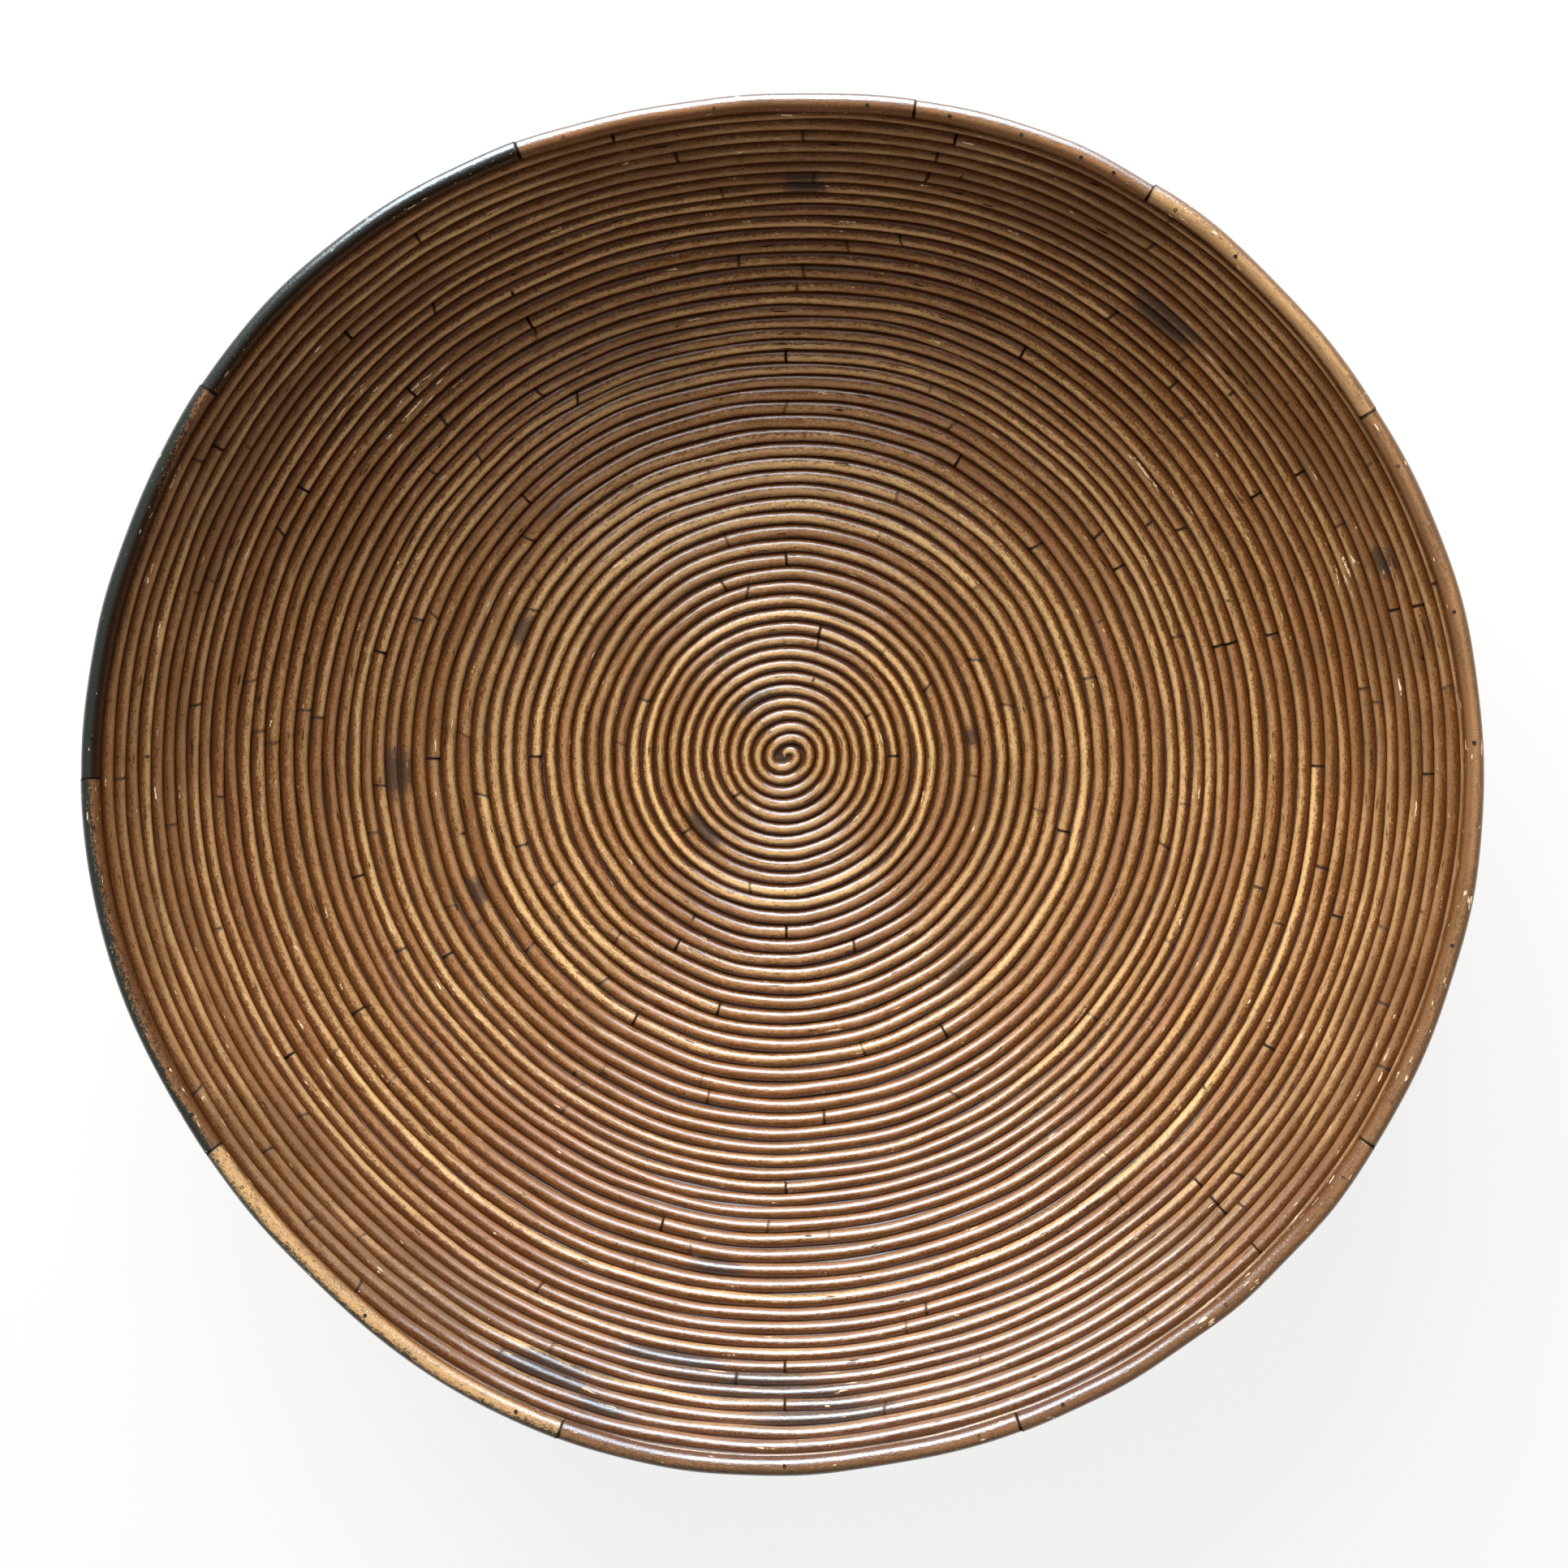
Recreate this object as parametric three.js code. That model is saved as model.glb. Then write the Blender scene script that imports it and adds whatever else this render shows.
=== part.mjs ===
// A wide, shallow bowl of pencil reed. One long coil of round reed starts in the middle of the floor, runs out
// over a flat standing base and climbs a curved wall. The coil is made of separate lengths butted end to end,
// its last length is shaved to a taper, and a level rim of short, thicker lengths closes the top.
// Millimetres, +Z up. The origin is the middle of the standing base, on the table.
// These sizes give a bowl about 508 across the rim and 118 high.
import * as THREE from "three";

// The form that the coil is wound on, through the centres of the reed
const BASE_DIAMETER = 150; // level floor, where the wall begins to curve up
const WALL_RADIUS = 193.5; // curve of the wall, seen from the side

// Reed, sorted by the maker into three thicknesses for the coil and a stouter one for the rim
const THIN_REED = 4.7;
const MIDDLE_REED = 5.5;
const THICK_REED = 5.9;
const RIM_REED = 6.4;
const CORE_RADIUS = 3.9; // middle of the bowl to the centre of the coil's first end
const SOLE_CUT = 0.32; // depth of the flat worn under the standing base

// Fits between neighbouring reeds
const TURN_GAP = 0.48; // glue line between one turn and the next
const BUTT_GAP = 0.36; // open joint between one length and the next

// Turns of the coil, counted from the middle
const COIL_TURNS = 50.5; // turns of full thickness
const TAPER_TURNS = 0.75; // shaved end that lies under the rim
const REED_BANDS = [
  { turn: 0, reed: THIN_REED },
  { turn: 7, reed: THIN_REED },
  { turn: 14, reed: MIDDLE_REED },
  { turn: 22, reed: MIDDLE_REED },
  { turn: 24, reed: THICK_REED },
  { turn: 30, reed: THIN_REED },
  { turn: 33, reed: THIN_REED },
  { turn: 36, reed: THICK_REED },
  { turn: 44, reed: THIN_REED },
  { turn: 51, reed: MIDDLE_REED },
];

// Lengths of reed
const COIL_PIECES = 48;
const JOINT_SPREAD = 0.25; // share by which a joint is moved, so that joints don't line up
const RIM_JOINTS = [32, 58, 79, 113, 146, 180, 213, 251, 290, 328]; // degrees, anticlockwise from +X

// Facets
const CORE_TURNS = 9; // turns that are small enough for half the steps
const CORE_STEPS = 12;
const COIL_STEPS = 24;
const COIL_SIDES = 6;
const RIM_STEPS = 48;
const RIM_SIDES = 8;

// Varnished reed
const REED_COLOUR = 0x9a6a3c;
const RIM_COLOUR = 0x7d5230;
const REED_ROUGHNESS = 0.38;
const TONE_SPREAD = 0.05;

const FULL_TURN = 2 * Math.PI;
const GOLDEN_ANGLE = Math.PI * (3 - Math.sqrt(5));

// Thickness of the reed at a turn, changing evenly between the bands
function thicknessAt(turn) {
  const next = REED_BANDS.findIndex((band) => band.turn > turn);
  if (next === -1) {
    return REED_BANDS.at(-1).reed;
  }
  const a = REED_BANDS[next - 1];
  const b = REED_BANDS[next];
  return THREE.MathUtils.mapLinear(turn, a.turn, b.turn, a.reed, b.reed);
}

// Distance along the bowl's profile from the middle of the floor to the reed's centre at a turn, with each
// turn against the one inside it
function distanceAt(turn) {
  let distance = CORE_RADIUS + TURN_GAP * turn;
  REED_BANDS.forEach((band, i) => {
    const end = Math.min(turn, REED_BANDS[i + 1]?.turn ?? turn);
    if (end > band.turn) {
      distance += ((end - band.turn) * (band.reed + thicknessAt(end))) / 2;
    }
  });
  return distance;
}

const baseRadius = BASE_DIAMETER / 2;
const floorHeight = THIN_REED / 2 - SOLE_CUT;
const coilTop = distanceAt(COIL_TURNS) + thicknessAt(COIL_TURNS) / 2;
const rimDistance = coilTop + TURN_GAP + RIM_REED / 2;

// Radius, height and slope of the profile: a level floor, then one arc that leaves it smoothly
function profileAt(distance) {
  const slope = Math.max(distance - baseRadius, 0) / WALL_RADIUS;
  return {
    radius: Math.min(distance, baseRadius) + WALL_RADIUS * Math.sin(slope),
    height: floorHeight + WALL_RADIUS * (1 - Math.cos(slope)),
    slope,
  };
}

// One cross-section of reed, as points in the upright plane at an angle round the bowl. The width lies along
// the wall and the depth across it. The first corner points up the wall, turned by the roll, and nothing reaches
// below the table.
function crossSection(distance, angle, width, depth, sides, roll) {
  const { radius, height, slope } = profileAt(distance);
  const outward = new THREE.Vector3(Math.cos(angle), Math.sin(angle), 0);
  const up = new THREE.Vector3(0, 0, 1);
  const along = outward.clone().multiplyScalar(Math.cos(slope)).addScaledVector(up, Math.sin(slope));
  const across = outward.clone().multiplyScalar(-Math.sin(slope)).addScaledVector(up, Math.cos(slope));
  const centre = outward.clone().multiplyScalar(radius).addScaledVector(up, height);
  return Array.from({ length: sides }, (_, i) => {
    const turn = (FULL_TURN * i) / sides + roll;
    const point = centre.clone();
    point.addScaledVector(along, (Math.cos(turn) * width) / 2);
    point.addScaledVector(across, (Math.sin(turn) * depth) / 2);
    point.z = Math.max(point.z, 0);
    return point;
  });
}

// Cross-sections of the whole coil, clockwise from above. Under the level rim the last turn is shaved, so that
// its upper edge stays level while its lower edge lies on the turn below.
function coilSections() {
  const sections = [];
  const lastStep = Math.round((COIL_TURNS + TAPER_TURNS) * COIL_STEPS);
  let step = 0;
  while (step <= lastStep) {
    const turn = step / COIL_STEPS;
    const depth = thicknessAt(turn);
    const bottom = distanceAt(turn) - depth / 2;
    const width = Math.min(depth, coilTop - bottom);
    const points = crossSection(bottom + width / 2, -FULL_TURN * turn, width, depth, COIL_SIDES, 0);
    sections.push({ turn, points });
    step += turn < CORE_TURNS ? COIL_STEPS / CORE_STEPS : 1;
  }
  return sections;
}

// Cross-sections of the level rim, anticlockwise over two turns, so that a length can cross the start. Their
// corners point straight out and straight up.
function rimSections() {
  const roll = -profileAt(rimDistance).slope;
  return Array.from({ length: 2 * RIM_STEPS + 1 }, (_, i) => {
    const angle = (FULL_TURN * i) / RIM_STEPS;
    return { points: crossSection(rimDistance, angle, RIM_REED, RIM_REED, RIM_SIDES, roll) };
  });
}

// Points of a cross-section between two neighbouring ones
function pointsBetween(sections, place) {
  const before = Math.min(Math.floor(place), sections.length - 2);
  const share = place - before;
  return sections[before].points.map((point, i) => point.clone().lerp(sections[before + 1].points[i], share));
}

// The rows of points of one length of reed, cut from the run between two places, with half a joint off each end
function cutLength(sections, start, end, openStart, openEnd) {
  const middleOf = (i) => sections[i].points.reduce((sum, point) => sum.add(point), new THREE.Vector3());
  const stepAt = (i) => middleOf(i).distanceTo(middleOf(i + 1)) / sections[i].points.length;
  const first = openStart ? start + BUTT_GAP / 2 / stepAt(Math.floor(start)) : start;
  const last = openEnd ? end - BUTT_GAP / 2 / stepAt(Math.ceil(end) - 1) : end;
  const rows = [pointsBetween(sections, first)];
  for (let i = Math.floor(first) + 1; i < last; i += 1) {
    rows.push(sections[i].points);
  }
  rows.push(pointsBetween(sections, last));
  return rows;
}

// A closed solid through the rows of points, with a flat end at each side
function loft(rows, reverse) {
  const sides = rows[0].length;
  const triangles = [];
  const face = (a, b, c) => triangles.push(...(reverse ? [a, c, b] : [a, b, c]));
  for (let row = 0; row < rows.length - 1; row += 1) {
    for (let i = 0; i < sides; i += 1) {
      const a = row * sides + i;
      const b = row * sides + ((i + 1) % sides);
      face(a, b, b + sides);
      face(a, b + sides, a + sides);
    }
  }
  const end = (rows.length - 1) * sides;
  for (let i = 1; i < sides - 1; i += 1) {
    face(0, i + 1, i);
    face(end, end + i, end + i + 1);
  }
  const geometry = new THREE.BufferGeometry().setFromPoints(rows.flat());
  geometry.setIndex(triangles);
  geometry.computeVertexNormals();
  return geometry;
}

// A named length of reed with its own shade of varnish
function addReed(group, prefix, index, colour, geometry) {
  const material = new THREE.MeshStandardMaterial({ color: colour, roughness: REED_ROUGHNESS, metalness: 0 });
  material.color.offsetHSL(0, 0, TONE_SPREAD * Math.sin(index * GOLDEN_ANGLE));
  const reed = new THREE.Mesh(geometry, material);
  reed.name = `${prefix}_${String(index + 1).padStart(2, "0")}`;
  group.add(reed);
}

// Places along the coil where its lengths begin, and where the last one ends. A turn grows longer with its
// distance from the middle, so lengths that are about alike follow a square root.
function coilJoints(sections) {
  const moved = Array.from({ length: COIL_PIECES }, (_, i) => i + JOINT_SPREAD * Math.sin(i * GOLDEN_ANGLE));
  const turns = moved.map((index) => (COIL_TURNS + TAPER_TURNS) * Math.sqrt(index / moved.length));
  const starts = turns.map((turn) => sections.findIndex((section) => section.turn >= turn));
  return [...starts, sections.length - 1];
}

// Least distance between the points of cross-sections that lie beside each other on neighbouring turns
function leastTurnGap(sections) {
  const stepAt = (turn) => Math.round(turn * COIL_STEPS);
  const byStep = new Map(sections.map((section) => [stepAt(section.turn), section.points]));
  const gaps = sections.map(({ turn, points }) => {
    const outer = byStep.get(stepAt(turn + 1)) ?? [];
    return Math.min(...points.flatMap((a) => outer.map((b) => a.distanceTo(b))));
  });
  return Math.min(...gaps);
}

const bowl = new THREE.Group();
bowl.name = "pencil_reed_bowl";

const coil = coilSections();
const [coilStart, ...coilEnds] = coilJoints(coil);
coilEnds.forEach((end, i) => {
  const start = coilEnds[i - 1] ?? coilStart;
  const rows = cutLength(coil, start, end, start !== coilStart, end !== coilEnds.at(-1));
  addReed(bowl, "coil_reed", i, REED_COLOUR, loft(rows, false));
});

const rim = rimSections();
const rimPlaces = RIM_JOINTS.map((degrees) => (THREE.MathUtils.degToRad(degrees) / FULL_TURN) * RIM_STEPS);
rimPlaces.forEach((start, i) => {
  const end = rimPlaces[i + 1] ?? rimPlaces[0] + RIM_STEPS;
  addReed(bowl, "rim_reed", i, RIM_COLOUR, loft(cutLength(rim, start, end, true, true), true));
});

console.log(`Least gap between neighbouring turns: ${leastTurnGap(coil).toFixed(3)} mm`);

export default bowl;
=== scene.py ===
"""A wide, shallow bowl of pencil reed: one long coil of varnished lengths, a level rim and its brads.

Metres, +Z up. The origin is the middle of the standing base, on the table.
"""

import math

import bpy
import numpy as np
from bpy.props import FloatProperty, FloatVectorProperty, IntProperty, PointerProperty
from mathutils import Matrix, Vector


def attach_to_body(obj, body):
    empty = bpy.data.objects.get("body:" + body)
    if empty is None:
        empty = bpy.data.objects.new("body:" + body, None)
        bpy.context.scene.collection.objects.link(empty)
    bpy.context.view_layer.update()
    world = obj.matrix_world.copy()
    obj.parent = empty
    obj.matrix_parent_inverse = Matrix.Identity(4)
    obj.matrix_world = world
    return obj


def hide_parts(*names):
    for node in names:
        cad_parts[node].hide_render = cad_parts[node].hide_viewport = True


bl_info = {
    "name": "Pencil Reed Bowl",
    "version": (1, 0, 0),
    "blender": (4, 5, 0),
    "location": "3D View > Sidebar > Reed Bowl",
    "description": "Winds a wide bowl of varnished pencil reed on its packed frame",
    "category": "Object",
}

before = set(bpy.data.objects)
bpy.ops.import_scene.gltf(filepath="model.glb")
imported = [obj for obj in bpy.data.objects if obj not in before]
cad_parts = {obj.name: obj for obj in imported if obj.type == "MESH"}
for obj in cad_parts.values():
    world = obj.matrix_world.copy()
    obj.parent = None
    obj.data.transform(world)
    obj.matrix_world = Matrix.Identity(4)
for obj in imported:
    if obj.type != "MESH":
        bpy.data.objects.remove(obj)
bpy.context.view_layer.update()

# Thickness of the coil's reed by turns from the middle, changing evenly between the turns named here
REED_BANDS = (
    (0, "thin"),
    (7, "thin"),
    (14, "middle"),
    (22, "middle"),
    (24, "thick"),
    (30, "thin"),
    (33, "thin"),
    (36, "thick"),
    (44, "thin"),
    (51, "middle"),
)

# Lengths of reed and where they are joined
RIM_JOINTS = (32, 58, 79, 113, 146, 180, 213, 251, 290, 328)  # degrees, anticlockwise from +X
COIL_PIECES = 48
JOINT_SPREAD = 0.25  # share by which a joint is moved, so that joints don't line up
GOLDEN_ANGLE = math.pi * (3 - math.sqrt(5))
COIL_STEPS = 24  # places in a turn where a joint may fall
CORE_STEPS = 12  # the same for the small turns in the middle
CORE_TURNS = 9

# The coil's two ends
RUN_OUT_TURNS = 0.985  # the shaved end, run out to a sliver against the rim
RUN_OUT_TIP = 0.00008
TUCK_TURNS = 0.5  # the first end, tucked into its own middle
TUCK_BEND = 0.7
TUCK_DIP = 0.16  # shares of the thickness by which the tucked end dips and grows thinner
TUCK_TAPER = 0.42

# The middle is wound oval: direction in degrees, reach in m, share of stretch, and squeeze across it
CORE_OVAL = (25, 0.014, 0.16, 0.7)
# The bowl isn't quite round: waves round its outline, their height in mm and their phase in degrees
OUTLINE_WAVES = ((2, 1.47, 16), (3, 1.66, -107), (4, 0.72, 99), (5, 0.60, 95), (6, 0.82, -50))
OUTLINE_GROWTH = 2.5  # power of the radius with which these waves grow towards the rim
# Slow waves that turns share: waves round the bowl, height in mm, phase in degrees and twist in rad/m
ROW_WAVES = (
    (3, 0.30, 40, 9),
    (5, 0.22, 170, -14),
    (8, 0.16, 300, 18),
    (13, 0.12, 85, -25),
    (21, 0.09, 210, 31),
)
ROW_WAVES_RISE = (0.02, 0.08)  # distances from the middle between which these waves set in
ROW_WAVES_FALL = 0.03  # distance below the coil's top over which they die out

# Chipped and stained places: x, y, reach along the reed and across it in mm, and strength
WEAR_END = 1.5  # reaches from the middle of a place where its wear ends
CHIPPED_PLACES = (
    (-155, 142, 22, 9, 1.0),
    (-170, 141, 16, 8, 1.0),
    (-138, 150, 13, 10, 0.9),
    (-134, -97, 20, 8, 1.0),
    (-181, -124, 10, 6, 0.8),
    (-15, 184, 16, 4, 0.8),
    (20, 215, 8, 3, 0.9),
    (92, 104, 8, 5, 0.9),
    (150, 115, 12, 5, 0.8),
    (216, 76, 9, 5, 1.0),
    (26, -231, 14, 6, 0.7),
    (221, -108, 12, 6, 0.5),
    (-127, 64, 7, 4, 0.8),
    (200, -151, 7, 4, 1.0),
    (190, -164, 5, 4, 1.0),
    (171, -184, 6, 4, 0.9),
    (155, -197, 6, 4, 0.9),
    (-198, -154, 6, 4, 0.7),
    (-142, -207, 5, 4, 0.6),
    (-216, -120, 6, 4, 0.6),
    (251, 10, 5, 4, 1.0),
    (247, -45, 6, 4, 0.9),
    (146, 204, 6, 4, 0.8),
)
STAINED_PLACES = (
    (-161, -5, 12, 4.5, 1.0),
    (-12, 23, 10, 3, 1.0),
    (-36, -32, 13, 2.5, 1.0),
    (80, 9, 5, 3, 0.8),
    (147, 174, 18, 2.6, 1.0),
    (226, 80, 7, 3, 0.9),
    (7, 226, 9, 2.6, 1.0),
    (-95, 103, 10, 3, 0.8),
    (-112, 54, 8, 3, 0.8),
    (72, -88, 12, 2.6, 0.8),
    (-129, -56, 7, 3, 0.8),
    (-90, -224, 20, 3, 1.0),
    (-70, -236, 12, 2, 0.8),
    (-28, -200, 12, 2.6, 0.8),
    (-45, -226, 22, 3.0, 0.9),
    (-8, -234, 34, 3.0, 0.8),
    (18, -240, 26, 2.5, 0.8),
)

# Rim lengths as tone, from brown to golden, and weathering at the start and end, from varnish to dark slate;
# on lengths with little weathering the slate lies on the outer side as painted shade
RIM_SHADES = (
    (0.75, 0.00, 0.02),
    (0.25, 0.05, 0.15),
    (0.04, 0.15, 0.18),
    (0.15, 0.80, 1.00),
    (0.25, 0.38, 0.85),
    (0.12, 0.44, 0.40),
    (1.00, 0.34, 0.30),
    (0.26, 0.26, 0.18),
    (0.28, 0.12, 0.08),
    (0.44, 0.06, 0.00),
)
RIM_OWN_TONE = 0.75  # share of a rim length's own tone, the rest being chance

# Brads in the rim, degrees anticlockwise from +X
BRAD_ANGLES = (
    3, 14, 27, 36.6, 49.2, 55.5, 61.5, 64.5, 69.8, 76, 83, 96, 109, 117, 131, 142.5, 150, 163,
    176.5, 184, 197, 209.5, 217, 232, 247, 255, 270, 286.5, 294, 310, 324.5, 332, 346,
)
BRAD_LEAN = (0.34, 0.94)  # how far a brad leans into the bowl, and how far it points up
BRAD_SUNK = 0.62  # share of a head's radius by which its middle lies in the reed

# Facets
COIL_SIDES = 16
RIM_SIDES = 20
STATION_STEP = 0.0042  # longest step along a reed
BEND_STEP = 0.16  # longest step in the small turns, as a share of their radius
LEAST_BEND = 0.003
RUN_SAMPLES = 6001  # places at which a run is measured
REED_MERGE = 0.000002  # distances at which doubled points are merged
GLUE_MERGE = 0.00001

# Cuts and ends of the reed
COIL_CUT_SPACING = 0.25
RIM_CUT_SPACING = 0.5
CUT_PACE = (0.35, 1.65)  # shortest and longest step between cuts, as shares of the spacing
FULL_CUTS = 0.62  # share of the cuts that go all round
CUT_STRENGTH = (0.4, 0.95)
FULL_SLANT = 0.28
PART_SLANT = 0.12
PART_REACH = (0.5, 1.1)  # half the stretch of a cut on one side, in rad, and the part of it that fades
PART_FADE = 0.35
PART_SPREAD = 0.7  # spread of the middle of such a cut round the reed
CUT_DIRT = (1.0, 0.8, 0.0)  # dirt in the middle of a cut, at its edges and where it ends
CUT_HALF = 0.0004  # half the width of a cut
CUT_FADE = 0.001  # where the dirt round a cut ends
CUT_LEAN = 0.0012  # stretch on each side of a cut that slants with it
CUT_CLEAR = 0.0034  # stretch on each side of a cut that only has the cut's own points
END_FADE = 0.0009  # where the dirt at an end fades out
END_CLEAR = 0.0016  # stretch at an end that only has the end's own points
END_FREE = 0.012  # stretch before an end without a cut
FULL_NOTCH = 0.05  # depths of a cut all round, a cut on one side and an end, as shares of the reed
PART_NOTCH = 0.07
END_NOTCH = 0.07
TOUCH_FADE = (0.15, 0.60)  # towards where neighbouring turns touch, notches die out

# Tone and mauve of a length by chance, as mean and spread, and what is kept past a cut
TONE_CHANCE = (0.46, 0.27)
MAUVE_CHANCE = (0.25, 0.4)
SHADE_KEPT = 0.35

# Chance unevenness as height, shortest wave and longest wave: up the wall, into the bowl, and in thickness
SWAY_UP = (0.00015, 0.04, 0.14)
SWAY_IN = (0.0002, 0.04, 0.2)
SWELL = (0.02, 0.03, 0.2)
MEAN_SWELL = 0.98
RIPPLE_WAVES = 5
SWAY_FULL = 0.0025  # half thickness from which a reed sways fully

# Where the varnish and its painted shade change, by the distance from the bowl's axis, and how much they do
FLOOR_FADE = (0.13, 0.05)  # narrower lit crowns, with wider painted shade in the grooves, and lighter tone towards the middle of the floor
FLOOR_NARROW_CROWN = 0.28
FLOOR_TONE = 0.2
SIDE_SHADE_RISE = (0.07, 0.14)  # painted shade shifted onto the up-wall side of each turn
COIL_SIDE_SHADE = 0.24
# grime near the rim, also painted shade on the last turns under it
RIM_DIRT_AND_SHADE_RISE = (0.222, 0.234)
STAIN_RISE = (-0.25, 0.25)  # stains lie on the inside, where the crown is
NEAR_RISE = (0.055, 0.095)  # painted shade: darker tone over the near part of the bowl
NEAR_FALL = (0.262, 0.212)
NEAR_SPREAD = (0.65, 0.90)  # how straight towards the near side
NEAR_SHADE_TONE = -0.45

# Steps along the grain's pattern, so that no two lengths have the same grain
GRAIN_STEP = 1.7
RIM_GRAIN_START = 300

GLUE_THICKNESS = 0.0008

# A reed's skin laid flat in folds: a fold's height for its girth, then shares of the flat and of a fold
FOLD_HEIGHT = 1.12
FLAT_EDGE = 0.004
FOLD_EDGE = 0.04
FOLD_SKIN = 0.9
END_ROW = 0.9  # a last row for the two end faces
END_SIZE = 0.36
END_PLACES = (0.1, 0.3)

# Lamps: direction from the bowl, distance in m, width and height in m, power in watts and colour
KEY_LAMP = ((-0.22, 0.80, 0.555), 1.9, (1.5, 1.1), 71.0, (1.0, 0.98, 0.95))
WINDOW_GLOSS = ((-0.03, 0.935, 0.34), 2.2, (2.7, 2.2), 360.0, (0.56, 0.79, 1.0))
UPPER_GLOSS = ((-0.03, 0.545, 0.84), 2.2, (2.0, 0.9), 6.0, (0.55, 0.78, 1.0))
LEFT_STRIP = ((-0.9, -0.95, 0.09), 1.7, (1.8, 0.2), 4.5, (1.0, 0.95, 0.88))
RIGHT_STRIP = ((0.9, -0.95, 0.09), *LEFT_STRIP[1:])
WHITE = (1.0, 1.0, 1.0)


def a_length(name, description, default):
    """A size that a user may change."""
    return FloatProperty(name=name, description=description, default=default, unit="LENGTH")


def a_colour(name, description, default):
    """A colour that a user may change."""
    return FloatVectorProperty(name=name, description=description, default=default, subtype="COLOR")


class ReedBowlSizes(bpy.types.PropertyGroup):
    """Sizes of the bowl, its reed and its joints."""

    base_diameter: a_length("Base", "Level floor, where the wall begins to curve up", 0.150)
    wall_radius: a_length("Wall curve", "Curve of the wall, seen from the side", 0.1935)
    thin_reed: a_length("Thin reed", "Thinnest reed of the coil", 0.0047)
    middle_reed: a_length("Middle reed", "Middle reed of the coil", 0.0055)
    thick_reed: a_length("Thick reed", "Thickest reed of the coil", 0.0059)
    rim_reed: a_length("Rim reed", "Reed of the rim", 0.0064)
    core_radius: a_length("Core", "Middle of the bowl to the coil's first end", 0.0039)
    sole_cut: a_length("Sole", "Depth of the flat worn under the base", 0.00032)
    turn_gap: a_length("Glue line", "Between one turn and the next", 0.00048)
    coil_turns: FloatProperty(name="Turns", description="Turns of full thickness", default=50.5)
    taper_turns: FloatProperty(name="Taper", description="Shaved end that lies under the rim", default=0.75)
    brad_diameter: a_length("Brad head", "Head of a brad in the rim", 0.0014)
    seed: IntProperty(name="Seed", description="Start of the chance marks on the reed", default=11)


class ReedBowlFinish(bpy.types.PropertyGroup):
    """Colours of the varnished reed, the rim and the stage."""

    golden: a_colour("Golden reed", "Lightest lengths", (0.84, 0.555, 0.245))
    brown: a_colour("Brown reed", "Darkest lengths", (0.29, 0.130, 0.046))
    mauve: a_colour("Mauve reed", "Cool brown lengths", (0.38, 0.180, 0.095))
    # Groove and flank colours are painted shade between the turns and on the sides of each reed, over the
    # darker varnish in the grooves
    groove: a_colour("Grooves", "Thick varnish between the turns", (0.098, 0.029, 0.0035))
    shaded_flank: a_colour("Flanks", "Darkened sides of the reed", (0.205, 0.082, 0.017))
    mark: a_colour("Cuts", "Dirt in cuts and joints", (0.024, 0.009, 0.003))
    # Grime is also painted shade on the last turns under the rim and on the rim's outer side
    grime_and_shade: a_colour("Grime", "Worn grey brown, most of it near the rim", (0.165, 0.086, 0.042))
    stain: a_colour("Stains", "Dark stains on the reed", (0.040, 0.026, 0.020))
    straw: a_colour("Bare reed", "Pale reed where varnish has chipped off", (0.80, 0.62, 0.38))
    slate: a_colour("Slate rim", "Weathered lengths of the rim", (0.024, 0.029, 0.025))
    brad: a_colour("Brads", "Dull iron of the brads", (0.020, 0.016, 0.014))
    floor: a_colour("Floor", "Plain pale floor", (0.84, 0.84, 0.84))


def ramp(value, start, end):
    """Rises evenly from 0 at the start to 1 at the end."""
    return np.clip((value - start) / (end - start), 0, 1)


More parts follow.
